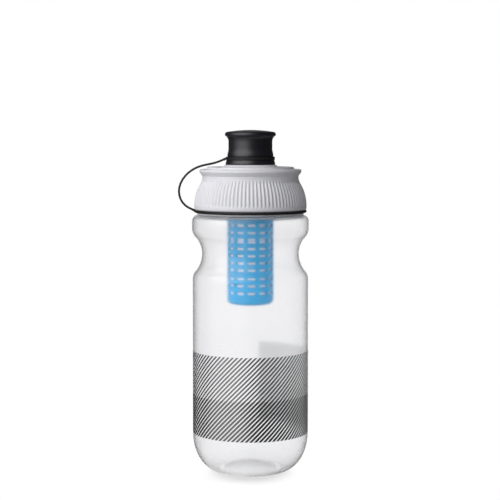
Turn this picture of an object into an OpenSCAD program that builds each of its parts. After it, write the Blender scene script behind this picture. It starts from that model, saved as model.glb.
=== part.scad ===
// Squeeze water bottle for a bicycle bottle cage, with a screw cap, a push-pull nozzle under
// a tethered cover, and a filter cartridge that hangs from the cap.
// Millimetres. The origin is on the axis where the bottle stands, +Z is up,
// and the tether loops out towards -X.

/* [Bottle] */
// Diameter of the straight barrel, which a bottle cage grips
body_d = 73; // [66:0.5:76]
// Width of the rounded corner at the base
base_round_w = 16.8; // [8:0.2:22]
// Height of the rounded corner at the base
base_round_h = 24; // [14:0.5:36]
// Height of the straight barrel
barrel_h = 98.5; // [60:0.5:140]
// Diameter at the bottom of the waist groove
waist_d = 61.2; // [58:0.2:66]
// Height from the barrel up to the bottom of the waist groove
waist_lower_h = 15.9; // [12:0.1:24]
// Height from the bottom of the waist groove up to the shoulder bead
waist_upper_h = 16.1; // [12:0.1:24]
// Diameter of the shoulder bead
shoulder_d = 73.8; // [70:0.2:78]
// Height of the shoulder bead
shoulder_h = 8.4; // [7:0.1:16]
// Rounding of the shoulder's top edge
shoulder_round = 4; // [2:0.1:5]
// Wall of the body
body_wall = 1.1; // [0.8:0.1:1.6]
// Depth of the hollow under the base
push_up = 4.5; // [2:0.1:8]
// Width of the ring that the bottle stands on
foot_w = 2.4; // [1.5:0.1:4]

/* [Neck] */
// Outside diameter of the neck without its thread
neck_d = 56; // [50:0.5:58]
// Height of the neck above the shoulder
neck_h = 23.9; // [20:0.1:30]
// Wall of the neck
neck_wall = 1.8; // [1.4:0.1:2.4]
// Rounding where the neck meets the shoulder
neck_root = 1.2; // [0.6:0.1:2]
// Room for the screw thread round the neck
thread_room = 1.6; // [1.2:0.1:2]

/* [Cap] */
// Wall of the cap round the top of the neck
cap_wall = 1.7; // [1.4:0.1:3]
// Clearance between the cap and the plain top of the neck
cap_clear = 0.6; // [0.3:0.1:1]
// Wall of the threaded skirt
skirt_wall = 1.8; // [1.4:0.1:2.2]
// How far the bell stands out past the recess above it
bell_flare = 5.1; // [4.6:0.1:7]
// How far the bell stands out past the recess where it turns into the hollow above it
bell_edge = 1.2; // [0.8:0.1:1.6]
// Height of the widest part of the bell above its bottom edge
bell_belly_h = 2.4; // [1.2:0.1:5]
// Height from the top of the bell's curve to the deck
crown_h = 10.4; // [10:0.1:12]
// How far the lip stands out past the recess
lip_over = 1.8; // [1:0.1:3]
// How far the raised deck sits in from the lip
deck_inset = 4.9; // [4:0.1:6]
// Thickness of the deck
deck_t = 4.3; // [3.2:0.1:5]
// Number of grip flutes round the bell
flutes = 90; // [60:1:96]
// Width of a flute
flute_w = 1.1; // [0.8:0.1:1.3]
// Depth of a flute
flute_depth = 0.7; // [0.3:0.05:0.8]
// Plain band below the flutes
flute_band = 3.2; // [0.6:0.1:5]
// Depth of the relief between the bell and the threaded skirt
relief_h = 8; // [6:0.1:9]
// Skin of the bell outside that relief
bell_skin = 2.6; // [2:0.1:3]
// Depth of the two pockets in the deck
pocket_depth = 2; // [1:0.1:2.4]
// Angle that each pocket takes up
pocket_span = 96; // [60:1:120]
// Rim of the deck outside the pockets
pocket_rim = 1.3; // [0.8:0.1:2]
// Thickness of the gasket
gasket_t = 1.8; // [1.2:0.1:2.4]
// Width of the gasket
gasket_w = 3.2; // [2.4:0.1:4]

/* [Stem and nozzle] */
// Diameter of the stem that the nozzle slides on
stem_d = 14.8; // [12:0.2:17]
// Bore of the stem
stem_bore = 10.4; // [8:0.2:10.8]
// Diameter of the plug post at the top of the stem
post_d = 5.2; // [4:0.1:5.6]
// Diameter of the hub that sits in the deck
hub_d = 19; // [17:0.2:21]
// Width of the flange under the deck, past the hub
flange_w = 3.5; // [2.5:0.1:5]
// Thickness of the flange under the deck
flange_t = 2; // [1.5:0.1:3]
// Thickness of the ring that seals the flange
stem_seal_t = 1; // [0.8:0.1:1.6]
// Diameter of the spigot that the filter plugs on
spigot_d = 13; // [12:0.1:14]
// Length of the spigot
spigot_len = 13; // [8:0.5:16]
// Height of the bead that keeps the nozzle on the stem
stem_bead = 0.5; // [0.3:0.05:0.8]
// How far the nozzle pulls out
nozzle_travel = 5; // [3:0.1:6]
// Wall of the nozzle
nozzle_wall = 1.5; // [1.2:0.1:2]
// How far the nozzle's foot stands out
nozzle_foot = 1.9; // [1.4:0.1:2.4]
// Thickness of the nozzle's foot and of its inner bead
nozzle_foot_h = 1.5; // [1:0.1:2]
// Thickness of the nozzle's top
nozzle_top = 1.8; // [1.2:0.1:2.4]
// Thickness of the soft sleeve round the nozzle
sleeve_t = 1.3; // [0.8:0.1:1.6]
// Length of the soft sleeve
sleeve_h = 8; // [5:0.1:9]

/* [Cover] */
// Clearance between the nozzle's foot and the cover
cover_room = 0.95; // [0.6:0.05:1.5]
// Wall of the cover at its waist
cover_wall = 1.4; // [1.2:0.1:2.2]
// How far the cover's rim stands out past its waist
cover_rim = 2.25; // [1.5:0.05:3]
// How far the cover's foot stands out past its waist
cover_foot = 2; // [1.6:0.1:2.8]
// Height of the cover's foot
cover_foot_h = 2.9; // [2.4:0.1:4]
// Height of the cover from its foot to its rim
cover_h = 18.9; // [18:0.1:24]
// Height of the top above the rim
cover_dome = 2.9; // [2.4:0.1:4]
// Rounding of the cover's rim below its widest part
cover_round = 1.6; // [0.8:0.1:1.8]
// Rounding of the cover's rim above its widest part
cover_top_round = 1.7; // [1:0.1:2.2]
// Thickness of the cover's top at its middle
cover_top = 2.6; // [1.6:0.1:3]
// Height of the boss that the cover sits on
boss_h = 1.3; // [1:0.1:3]
// How far the boss spreads out at the deck
boss_flare = 1.7; // [0.5:0.1:2]
// Height of the collar that the cover snaps on
collar_h = 2; // [1.4:0.1:2.2]

/* [Tether] */
// Diameter of the tether's cord
tether_d = 1.4; // [1:0.1:2]
// Height of the tether's ring on the cover
cover_loop_h = 2; // [1.4:0.1:2.4]
// Thickness of the tether's ring on the cover
cover_loop_t = 1.3; // [1:0.1:2]
// Depth that the ring on the cover sits in its groove
cover_groove = 0.5; // [0.3:0.1:0.6]
// Height of the tether's ring under the cap
neck_loop_h = 1.8; // [1.4:0.1:2.4]
// Diameter of the lugs where the cord leaves its rings
lug_d = 1.6; // [1.4:0.1:2]

/* [Filter] */
// Diameter of the cartridge
filter_d = 29.4; // [26:0.2:36]
// Length of the cartridge's neck
filter_neck_h = 18; // [14:0.5:24]
// Diameter of the cartridge's neck
filter_neck_d = 20; // [19.6:0.2:22]
// Height of the solid collar above the cage, with its sloping shoulder
filter_collar_h = 7.4; // [5:0.1:12]
// Length of the slotted cage
cage_h = 49; // [36:0.5:70]
// Wall of the cage
cage_wall = 1.2; // [0.8:0.1:1.6]
// Slots in one row round the cage
slot_columns = 12; // [6:1:14]
// Distance from one row of slots to the next
slot_pitch = 4.72; // [3.5:0.01:7]
// Width of a slot
slot_w = 5; // [3:0.1:5.4]
// Height of a slot
slot_h = 1.6; // [1:0.1:2.4]
// Height of the cartridge's end cap
end_cap_h = 4.6; // [3:0.1:6]
// Thickness of the white sleeve inside the cage
fleece_t = 1.9; // [1:0.1:2.5]
// Bore of the carbon block and of the way out of the cartridge
core_bore = 8; // [6:0.2:9]
// Section of the cartridge's O-ring
o_ring_d = 1.6; // [1.2:0.1:1.8]

/* [Hidden] */
$fn = 96;

// Gap between pieces that seat on each other, and the running gap of pieces that slide
seat_gap = 0.1;
slide_gap = 0.1;
// Gap between the cap's foot and the shoulder, and between the nozzle and the boss
rest_gap = 0.4;
// Reach of a cutter past the face that it opens
over = 1;
// Small edge breaks: neck rim, bell foot, deck edge, nozzle's foot, cartridge's neck
rim_round = 0.5;
bell_break = 0.5;
deck_break = 0.4;
nozzle_break = 0.4;
filter_break = 0.5;
// Slope that leads a plug into its socket, on the spigot and on the cartridge
lead_in = 0.6;
// Rounding of the cap's lip, and the angles that it is round between
lip_round = 0.7;
lip_from = -50;
lip_to = 80;
// Steps in an arc of an outline
arc_steps = 6;
base_steps = 14;

// Heights and radii of the bottle
body_r = body_d / 2;
waist_r = waist_d / 2;
shoulder_r = shoulder_d / 2;
barrel_z = base_round_h + barrel_h;
waist_z = barrel_z + waist_lower_h;
bead_z = waist_z + waist_upper_h;
shoulder_z = bead_z + shoulder_h;
foot_r = body_r - base_round_w;
neck_r = neck_d / 2;
neck_in = neck_r - neck_wall;
rim_z = shoulder_z + neck_h;
// Shares of an S-shaped flank that its lower arc takes, below and above the waist
lower_share = 0.3;
upper_share = 0.63;

// Heights and radii of the cap
loop_bead_h = 0.8;
loop_bead = 2.2;
cap_foot_z = shoulder_z + rest_gap;
bell_z = cap_foot_z + loop_bead_h + neck_loop_h + 2 * seat_gap;
ceiling_z = rim_z + gasket_t;
deck_z = ceiling_z + deck_t;
bell_top_z = deck_z - crown_h;
belly_z = bell_z + bell_belly_h;
cap_in = neck_r + cap_clear;
skirt_in = neck_r + thread_room;
skirt_out = skirt_in + skirt_wall;
recess_r = cap_in + cap_wall;
bell_top_r = recess_r + bell_edge;
belly_r = recess_r + bell_flare;
lip_r = recess_r + lip_over;
deck_r = lip_r - deck_inset;
relief_r = belly_r - bell_skin;
// Radius of the bell's curve, through its belly and its top, and its slope there
bell_rise = bell_top_z - belly_z;
bell_curve = (pow(bell_rise, 2) + pow(belly_r - bell_top_r, 2)) / (2 * (belly_r - bell_top_r));
bell_turn = asin(bell_rise / bell_curve);
// Hollow that leads from the bell's slope to the upright recess, and the small step between them
bell_step = 0.1;
hollow_r = (bell_edge - bell_step) / (1 - cos(bell_turn));
hollow_z = bell_top_z + hollow_r * sin(bell_turn);
// Upright part of the recess, drop from the deck to the lip's middle, and rise of the deck over it
recess_h = 0.5;
lip_drop = 2.9;
deck_rise = 1.4;
recess_z = hollow_z + recess_h;
lip_z = deck_z - lip_drop;
lip_top_z = deck_z - deck_rise;
// How far the flutes run on into the hollow, where they run out
flute_over = 1.8;

// Stem, nozzle and cover
stem_r = stem_d / 2;
hub_r = hub_d / 2;
hub_hole_r = hub_r + slide_gap / 2;
flange_r = hub_r + flange_w;
flange_top_z = ceiling_z - stem_seal_t;
flange_z = flange_top_z - flange_t;
spigot_r = spigot_d / 2;
spigot_z = flange_z - spigot_len;
boss_z = deck_z + boss_h;
nozzle_z = boss_z + rest_gap;
nozzle_bore = stem_r + slide_gap;
nozzle_wide = stem_r + stem_bead + 1.5 * slide_gap;
nozzle_r = nozzle_wide + nozzle_wall;
nozzle_foot_r = nozzle_r + nozzle_foot;
bead_h = 1.5;
bead_slope = 0.4;
stem_bead_z = nozzle_z + nozzle_foot_h + nozzle_travel + seat_gap;
stem_top_z = stem_bead_z + bead_h;
// Room above the stem for the water on its way to the hole
flow_h = 2.4;
nozzle_roof_z = stem_top_z + flow_h;
nozzle_top_z = nozzle_roof_z + nozzle_top;
post_r = post_d / 2;
post_hole_r = post_r + 1.5 * slide_gap;
cover_in = nozzle_foot_r + cover_room;
cover_waist_r = cover_in + cover_wall;
cover_rim_r = cover_waist_r + cover_rim;
cover_foot_r = cover_waist_r + cover_foot;
cover_z = boss_z + seat_gap;
cover_rim_z = cover_z + cover_h;
cover_top_z = cover_rim_z + cover_dome;
cover_roof_z = cover_top_z - cover_top;
boss_r = cover_foot_r + 2 * seat_gap;
boss_base_r = boss_r + boss_flare;
collar_r = cover_waist_r - 4 * seat_gap;
collar_wall = 1.4;
cover_seat_r = collar_r + 3 * slide_gap;
cover_groove_z = cover_z + cover_foot_h;
cover_groove_h = cover_loop_h + 2 * seat_gap;
// Step of the cover's side above its foot, its upright edge, and the height that it is drawn in over
cover_step = 0.7;
cover_edge = 0.3;
cover_draw_h = 4.8;
// Height of the flare below the cover's rim, and the angles that the rim is round between
flare_h = 3.7;
rim_from = -25;
rim_to = 78;
cover_groove_r = cover_waist_r + cover_step - cover_groove;
pocket_gap = 0.3;
pocket_in = boss_base_r + pocket_gap;
pocket_out = deck_r - pocket_rim;

// Tether, whose larger ring stands a little proud of the bell
cover_loop_in = cover_groove_r + seat_gap;
cover_loop_z = cover_groove_z + seat_gap;
neck_loop_in = skirt_out + 1.5 * slide_gap;
neck_loop_proud = 0.1;
neck_loop_r = belly_r + neck_loop_proud;
neck_loop_z = cap_foot_z + loop_bead_h + seat_gap;
// Length of the lugs, and how far they tilt down from the cover's ring and up from the cap's
lug_len = 2.4;
cover_lug_tilt = -20;
neck_lug_tilt = 27;
// Route of the cord, from the ring on the cover to the ring under the cap
tether_route = [
    [-17.02, 0, 197.47], [-18.6, 0, 196.78], [-20.4, 0, 196.08], [-22.5, 0, 195.42], [-24.9, 0, 194.86],
    [-27.5, 0, 194.35], [-30.1, 0, 193.76], [-32.6, 0, 192.98], [-34.9, 0, 191.97], [-37.05, 0, 190.7],
    [-39.15, 0, 189.1], [-41.05, 0, 187.2], [-42.7, 0, 184.95], [-44.0, 0, 182.45], [-44.8, 0, 179.9],
    [-45.05, 0, 177.4], [-44.75, 0, 175.0], [-44.05, 0, 172.75], [-42.95, 0, 170.75], [-41.5, 0, 169.1],
    [-40.0, 0, 167.85], [-38.45, 0, 167.0], [-36.76, 0, 166.2]
];
tether_sides = 8;
tether_last = len(tether_route) - 1;

// Filter
filter_r = filter_d / 2;
filter_neck_r = filter_neck_d / 2;
filter_top_z = flange_z - 2 * seat_gap;
collar_z = filter_top_z - filter_neck_h;
cage_top_z = collar_z - filter_collar_h;
cage_z = cage_top_z - cage_h;
end_cap_z = cage_z - end_cap_h;
cage_in = filter_r - cage_wall;
socket_r = spigot_r + 1.5 * slide_gap;
socket_z = spigot_z - rest_gap;
o_ring_depth = 5;
o_ring_z = filter_top_z - o_ring_depth;
o_ring_mid = spigot_r + slide_gap + o_ring_d / 2;
gland_r = spigot_r + o_ring_d + 2 * slide_gap;
gland_h = o_ring_d + 4 * slide_gap;
// Lips of the collar and the end cap that plug into the cage
plug_h = 1;
plug_r = cage_in - slide_gap;
fleece_r = cage_in - 2 * slide_gap;
core_r = fleece_r - fleece_t - slide_gap;
media_z = cage_z + plug_h + seat_gap;
media_top_z = cage_top_z - plug_h - seat_gap;
// Plain ends of the cage above the first and below the last row of slots, and the slots' turn
slot_end_top = 2.65;
slot_end_foot = 1.5;
slot_turn = 3;
// Rounding of the end cap, no larger than its wall allows
end_round = min(3.2, end_cap_h - filter_break);
slot_rows = floor((cage_h - slot_end_top - slot_end_foot - slot_h) / slot_pitch) + 1;

// Points of an arc round c in the order of its angles
function arc(c, r, from, to, n = arc_steps) =
    [for (i = [0:n]) let (a = from + (to - from) * i / n) c + r * [cos(a), sin(a)]];

// S-shaped flank that leaves p and reaches q upright, where ra is the radius of its first arc
function flank(p, q, ra, n = arc_steps) =
    let (
        dr = abs(q[0] - p[0]),
        way = sign(q[0] - p[0]),
        dz = q[1] - p[1],
        turn = 2 * atan(dr / dz),
        rb = dz / sin(turn) - ra
    )
    concat(
        [for (i = [0:n]) let (a = turn * i / n) [p[0] + way * ra * (1 - cos(a)), p[1] + ra * sin(a)]],
        [for (i = [1:n]) let (a = turn * (1 - i / n)) [q[0] - way * rb * (1 - cos(a)), q[1] - rb * sin(a)]]
    );

// Radius of both arcs of a flank together
function flank_sum(dr, dz) = dz / sin(2 * atan(abs(dr) / dz));

function reversed(list) = [for (i = [len(list) - 1:-1:0]) list[i]];

// One side of the body's wall, from the middle of the base to the top of the shoulder
function body_side(in) =
    let (
        foot_in = foot_r - foot_w,
        dome = (pow(foot_in, 2) + pow(push_up, 2)) / (2 * push_up),
        lower_r = lower_share * flank_sum(body_r - waist_r, waist_lower_h),
        upper_r = upper_share * flank_sum(shoulder_r - waist_r, waist_upper_h)
    )
    concat(
        [for (i = [0:arc_steps]) let (r = foot_in * i / arc_steps)
            [r, push_up - dome + sqrt(pow(dome, 2) - pow(r, 2)) + in]],
        [for (i = [0:base_steps]) let (a = 90 * i / base_steps)
            [foot_r + (base_round_w - in) * sin(a), base_round_h - (base_round_h - in) * cos(a)]],
        flank([body_r - in, barrel_z], [waist_r - in, waist_z], lower_r - in),
        flank([waist_r - in, waist_z], [shoulder_r - in, bead_z], upper_r + in),
        arc([shoulder_r - shoulder_round, shoulder_z - shoulder_round], shoulder_round - in, 0, 90)
    );

module ring(r_in, r_out, z, h) {
    rotate_extrude() translate([r_in, z]) square([r_out - r_in, h]);
}

// Blow-moulded body: the outer side, the neck with its rounded rim, and the inner side back down
module bottle_body() {
    color([0.9, 0.92, 0.94, 0.45])
    rotate_extrude()
    polygon(concat(
        body_side(0),
        reversed(arc([neck_r + neck_root, shoulder_z + neck_root], neck_root, 180, 270)),
        arc([neck_r - rim_round, rim_z - rim_round], rim_round, 0, 90, 3),
        arc([neck_in + rim_round, rim_z - rim_round], rim_round, 90, 180, 3),
        arc([neck_in + neck_root, shoulder_z - body_wall + neck_root], neck_root, 180, 270),
        reversed(body_side(body_wall))
    ));
}

// Region inside the bell's curve, moved in by a depth
module bell_disc(depth) {
    translate([belly_r - bell_curve, belly_z]) circle(bell_curve - depth);
}

// Section of the cap: threaded skirt with its bead, bell, recess, lip, deck, collar and ceiling.
// The bell is drawn square and then cut back to its curve.
module cap_section() {
    difference() {
        polygon(concat(
            [[skirt_in, cap_foot_z], [skirt_out + loop_bead, cap_foot_z]],
            [[skirt_out + loop_bead, cap_foot_z + loop_bead_h], [skirt_out, cap_foot_z + loop_bead_h]],
            [[skirt_out, bell_z], [belly_r + over, bell_z], [belly_r + over, bell_top_z]],
            arc([recess_r + hollow_r, hollow_z], hollow_r, 180 + bell_turn, 180),
            [[recess_r, recess_z]],
            arc([lip_r - lip_round, lip_z], lip_round, lip_from, lip_to),
            [[deck_r + deck_break, lip_top_z], [deck_r, deck_z - deck_break], [deck_r - deck_break, deck_z]],
            [[boss_base_r, deck_z], [boss_r, boss_z], [collar_r, boss_z], [collar_r, boss_z + collar_h]],
            [[collar_r - collar_wall, boss_z + collar_h], [collar_r - collar_wall, boss_z]],
            [[hub_hole_r, boss_z], [hub_hole_r, ceiling_z], [cap_in, ceiling_z], [cap_in, bell_top_z]],
            [[skirt_in, bell_top_z]]
        ));
        difference() {
            translate([recess_r, bell_z - over])
                square([belly_r - recess_r + 2 * over, bell_top_z - bell_z + over]);
            bell_disc(0);
        }
        translate([skirt_out, bell_z - over]) square([relief_r - skirt_out, relief_h + over]);
        polygon([
            [belly_r - 2 * bell_break, bell_z - over], [belly_r + over, bell_z - over],
            [belly_r + over, bell_z + bell_break + over], [belly_r - 2 * bell_break, bell_z]
        ]);
    }
}

// One flute of the bell, a slot with a floor that follows the bell's curve and ends at the recess
module flute() {
    rotate([90, 0, 0])
    linear_extrude(flute_w, center = true)
    difference() {
        translate([recess_r, bell_z + flute_band])
            square([belly_r - recess_r + over, bell_top_z + flute_over - bell_z - flute_band]);
        bell_disc(flute_depth);
    }
}

module deck_pocket() {
    rotate([0, 0, -pocket_span / 2])
    rotate_extrude(angle = pocket_span)
    translate([pocket_in, deck_z - pocket_depth])
    square([pocket_out - pocket_in, pocket_depth + over]);
}

module cap_shell() {
    color([0.79, 0.79, 0.81])
    difference() {
        rotate_extrude() cap_section();
        for (a = [0, 180]) rotate([0, 0, a]) deck_pocket();
        for (i = [0:flutes - 1]) rotate([0, 0, 360 * (i + 0.5) / flutes]) flute();
    }
}

module cap_gasket() {
    color([0.93, 0.93, 0.92])
    ring(cap_in - 2 * seat_gap - gasket_w, cap_in - 2 * seat_gap, rim_z, gasket_t);
}

// Stem insert: plug post, beaded stem and hub above the flange, filter spigot below it
module spout_stem() {
    ports = 3;
    port_span = 84;
    port_in = post_r + rest_gap;
    port_out = stem_bore / 2 - rest_gap;
    ports_z = stem_top_z - bead_h;
    color([0.84, 0.85, 0.86])
    union() {
        difference() {
            rotate_extrude()
            polygon([
                [0, spigot_z], [spigot_r - lead_in, spigot_z], [spigot_r, spigot_z + lead_in],
                [spigot_r, flange_z], [flange_r, flange_z], [flange_r, flange_top_z],
                [hub_r, flange_top_z], [hub_r, boss_z], [stem_r, boss_z],
                [stem_r, stem_bead_z], [stem_r + stem_bead, stem_bead_z + bead_slope],
                [stem_r + stem_bead, stem_top_z - bead_slope], [stem_r, stem_top_z], [0, stem_top_z]
            ]);
            translate([0, 0, spigot_z - over])
                cylinder(h = flange_z - spigot_z + over, r = core_bore / 2);
            translate([0, 0, flange_z])
                cylinder(h = ports_z - flange_z, r = stem_bore / 2);
            for (i = [0:ports - 1])
                rotate([0, 0, 360 * i / ports])
                rotate_extrude(angle = port_span)
                translate([port_in, ports_z - over])
                square([port_out - port_in, bead_h + 2 * over]);
        }
        translate([0, 0, stem_top_z - bead_h / 2])
            cylinder(h = nozzle_top_z - stem_top_z + bead_h / 2, r = post_r);
    }
}

module stem_seal() {
    color([0.2, 0.2, 0.21])
    ring(hub_r + seat_gap, flange_r - rest_gap, flange_top_z, stem_seal_t);
}

// Push-pull nozzle: foot with an inner bead that stops under the stem's bead, and a top with a hole
module nozzle() {
    foot_top_z = nozzle_z + nozzle_foot_h;
    color([0.86, 0.87, 0.88])
    rotate_extrude()
    polygon([
        [nozzle_bore, nozzle_z], [nozzle_foot_r - nozzle_break, nozzle_z],
        [nozzle_foot_r, nozzle_z + nozzle_break], [nozzle_foot_r, foot_top_z],
        [nozzle_r, foot_top_z + nozzle_break], [nozzle_r, nozzle_top_z],
        [post_hole_r, nozzle_top_z], [post_hole_r, nozzle_roof_z], [nozzle_wide, nozzle_roof_z],
        [nozzle_wide, foot_top_z], [nozzle_bore, foot_top_z]
    ]);
}

// Soft sleeve with a swollen tip for the teeth, drawn in below it
module bite_sleeve() {
    edge = 0.5;
    tip_h = 2;
    tip_round = 0.8;
    draw_share = 0.25;
    sleeve_in = nozzle_r + seat_gap / 2;
    sleeve_r = nozzle_r + sleeve_t;
    sleeve_z = nozzle_top_z - sleeve_h;
    low = [sleeve_in + edge, sleeve_z + edge];
    tip = [sleeve_r, nozzle_top_z - tip_h];
    color([0.35, 0.36, 0.38])
    rotate_extrude()
    polygon(concat(
        [[sleeve_in, sleeve_z], [sleeve_in + edge, sleeve_z]],
        flank(low, tip, draw_share * flank_sum(tip[0] - low[0], tip[1] - low[1])),
        arc([sleeve_r - tip_round, nozzle_top_z - tip_round], tip_round, 0, 90, 4),
        [[sleeve_in, nozzle_top_z]]
    ));
}

// Cover: foot, groove for the tether's ring, drawn-in waist, flared rim and domed top
module mud_cover() {
    waist_share = 0.5;
    roof_round = 1;
    rim_low = arc([cover_rim_r - cover_round, cover_rim_z], cover_round, rim_from, 0);
    rim = arc([cover_rim_r - cover_top_round, cover_rim_z], cover_top_round, 0, rim_to);
    flare_r = rim_low[0][0] - cover_waist_r;
    flare_z = rim_low[0][1] - flare_h;
    flare_curve = (pow(flare_h, 2) + pow(flare_r, 2)) / (2 * flare_r);
    dome_r = rim[arc_steps][0];
    dome_h = cover_top_z - rim[arc_steps][1];
    dome_curve = (pow(dome_r, 2) + pow(dome_h, 2)) / (2 * dome_h);
    groove_top = cover_groove_z + cover_groove_h;
    step_r = cover_waist_r + cover_step;
    side_z = groove_top + cover_edge;
    draw_r = waist_share * flank_sum(cover_step, cover_draw_h);
    seat_top_z = boss_z + collar_h + 2 * seat_gap;
    color([0.1, 0.1, 0.11])
    rotate_extrude()
    polygon(concat(
        [[cover_seat_r, cover_z], [cover_foot_r, cover_z], [cover_foot_r - cover_step, cover_groove_z]],
        [[cover_groove_r, cover_groove_z], [cover_groove_r, groove_top], [step_r, groove_top]],
        flank([step_r, side_z], [cover_waist_r, side_z + cover_draw_h], draw_r),
        arc([cover_waist_r + flare_curve, flare_z], flare_curve, 180, 180 - asin(flare_h / flare_curve)),
        [for (i = [1:arc_steps - 1]) rim_low[i]],
        rim,
        [for (i = [1:arc_steps]) let (r = dome_r * (1 - i / arc_steps))
            [r, cover_top_z - dome_curve + sqrt(pow(dome_curve, 2) - pow(r, 2))]],
        [[0, cover_roof_z], [cover_in - roof_round, cover_roof_z], [cover_in, cover_roof_z - roof_round]],
        [[cover_in, seat_top_z + cover_seat_r - cover_in], [cover_seat_r, seat_top_z]]
    ));
}

// Lug that the cord leaves, which starts in the middle of its ring and points outwards at a tilt
module lug(r, z, tilt) {
    translate([-r, 0, z]) rotate([0, tilt - 90, 0]) cylinder(h = lug_len, d = lug_d);
}

module cover_loop() {
    color([0.1, 0.1, 0.11])
    union() {
        ring(cover_loop_in, cover_loop_in + cover_loop_t, cover_loop_z, cover_loop_h);
        lug(cover_loop_in + cover_loop_t / 2, cover_loop_z + cover_loop_h / 2, cover_lug_tilt);
    }
}

// Flat ring with a half-round rim, trapped between the cap's bell and the bead on its skirt
module neck_loop() {
    rim = neck_loop_h / 2;
    color([0.1, 0.1, 0.11])
    union() {
        rotate_extrude()
        polygon(concat(
            [[neck_loop_in, neck_loop_z]],
            arc([neck_loop_r - rim, neck_loop_z + rim], rim, -90, 90, 8),
            [[neck_loop_in, neck_loop_z + neck_loop_h]]
        ));
        lug(neck_loop_r - rim, neck_loop_z + rim, neck_lug_tilt);
    }
}

// Direction of the route at one of its points, which is that of its end run at either end
function route_way(i) =
    i < 1 ? tether_route[1] - tether_route[0]
    : i >= tether_last ? tether_route[tether_last] - tether_route[tether_last - 1]
    : tether_route[i + 1] - tether_route[i - 1];

// Ring of the cord at point i, square to the route, which lies in the XZ plane
function route_ring(i) =
    let (way = route_way(i), side = [way[2], 0, -way[0]] / norm(way))
    [for (k = [0:tether_sides - 1]) let (a = 360 * k / tether_sides)
        tether_route[i] + tether_d / 2 * (cos(a) * side + [0, sin(a), 0])];

module tether_cord() {
    n = tether_sides;
    points = [for (i = [0:tether_last], p = route_ring(i)) p];
    walls = [for (i = [0:tether_last - 1], k = [0:n - 1]) let (a = i * n + k, b = i * n + (k + 1) % n)
        each [[a, b, b + n], [a, b + n, a + n]]];
    first = [for (k = [1:n - 2]) [0, k + 1, k]];
    last = [for (k = [1:n - 2]) [tether_last * n, tether_last * n + k, tether_last * n + k + 1]];
    color([0.1, 0.1, 0.11])
    polyhedron(points, concat(walls, first, last));
}

// Collar of the cartridge: neck with the socket and its O-ring gland, shoulder, plug lip
module filter_collar() {
    shoulder = 2;
    color([0.25, 0.6, 0.82])
    difference() {
        rotate_extrude()
        polygon([
            [core_bore / 2, media_top_z], [plug_r, media_top_z], [plug_r, cage_top_z],
            [filter_r, cage_top_z], [filter_r, collar_z - shoulder], [filter_neck_r, collar_z],
            [filter_neck_r, filter_top_z - filter_break], [filter_neck_r - filter_break, filter_top_z],
            [socket_r + lead_in, filter_top_z], [socket_r, filter_top_z - lead_in], [socket_r, socket_z],
            [core_bore / 2, socket_z]
        ]);
        ring(socket_r - over, gland_r, o_ring_z - gland_h / 2, gland_h);
    }
}

module filter_o_ring() {
    color([0.15, 0.15, 0.16])
    rotate_extrude() translate([o_ring_mid, o_ring_z]) circle(d = o_ring_d);
}

// Slotted tube, with its slots in rows
module filter_cage() {
    color([0.25, 0.6, 0.82])
    difference() {
        ring(cage_in, filter_r, cage_z, cage_h);
        for (row = [0:slot_rows - 1], column = [0:slot_columns - 1])
            rotate([0, 0, 360 * column / slot_columns + slot_turn])
            translate([cage_in - over, -slot_w / 2, cage_top_z - slot_end_top - slot_h - row * slot_pitch])
            cube([cage_wall + 2 * over, slot_w, slot_h]);
    }
}

module filter_fleece() {
    color([0.95, 0.95, 0.96])
    ring(fleece_r - fleece_t, fleece_r, media_z, media_top_z - media_z);
}

module filter_core() {
    color([0.12, 0.12, 0.13])
    ring(core_bore / 2, core_r, media_z, media_top_z - media_z);
}

// End cap with a rounded edge and a lip that plugs into the cage
module filter_end_cap() {
    color([0.25, 0.6, 0.82])
    rotate_extrude()
    polygon(concat(
        [[0, end_cap_z]],
        arc([filter_r - end_round, end_cap_z + end_round], end_round, -90, 0),
        [[filter_r, cage_z], [plug_r, cage_z], [plug_r, cage_z + plug_h], [0, cage_z + plug_h]]
    ));
}

bottle_body();
cap_shell();
cap_gasket();
spout_stem();
stem_seal();
nozzle();
bite_sleeve();
mud_cover();
cover_loop();
tether_cord();
neck_loop();
filter_collar();
filter_o_ring();
filter_cage();
filter_fleece();
filter_core();
filter_end_cap();
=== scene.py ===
"""Squeeze water bottle for a bicycle cage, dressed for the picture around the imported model.

Lengths are in millimetres until a mesh or a node needs metres. The frame's +Z is up along the
bottle's axis, the camera looks along +Y, and the tether loops out towards -X.
"""

import logging
import math
from dataclasses import dataclass, field
from enum import Enum
from typing import Any, Callable, Sequence

import bpy
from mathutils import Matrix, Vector


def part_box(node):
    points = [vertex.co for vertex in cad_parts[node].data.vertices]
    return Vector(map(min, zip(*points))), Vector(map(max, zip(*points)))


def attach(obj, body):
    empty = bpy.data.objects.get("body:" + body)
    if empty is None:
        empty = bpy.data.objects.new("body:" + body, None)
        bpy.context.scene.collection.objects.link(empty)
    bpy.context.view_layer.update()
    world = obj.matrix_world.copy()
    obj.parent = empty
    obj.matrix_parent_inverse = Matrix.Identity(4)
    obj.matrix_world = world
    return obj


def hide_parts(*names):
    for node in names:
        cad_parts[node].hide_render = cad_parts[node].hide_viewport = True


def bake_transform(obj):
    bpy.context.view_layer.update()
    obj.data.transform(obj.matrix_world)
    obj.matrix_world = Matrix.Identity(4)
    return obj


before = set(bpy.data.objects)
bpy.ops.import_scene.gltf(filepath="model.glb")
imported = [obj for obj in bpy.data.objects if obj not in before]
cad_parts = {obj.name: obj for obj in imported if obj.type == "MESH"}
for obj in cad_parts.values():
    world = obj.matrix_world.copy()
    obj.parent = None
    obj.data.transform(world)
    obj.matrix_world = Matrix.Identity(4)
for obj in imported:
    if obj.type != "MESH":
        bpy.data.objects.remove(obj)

log = logging.getLogger("water_bottle")

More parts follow.
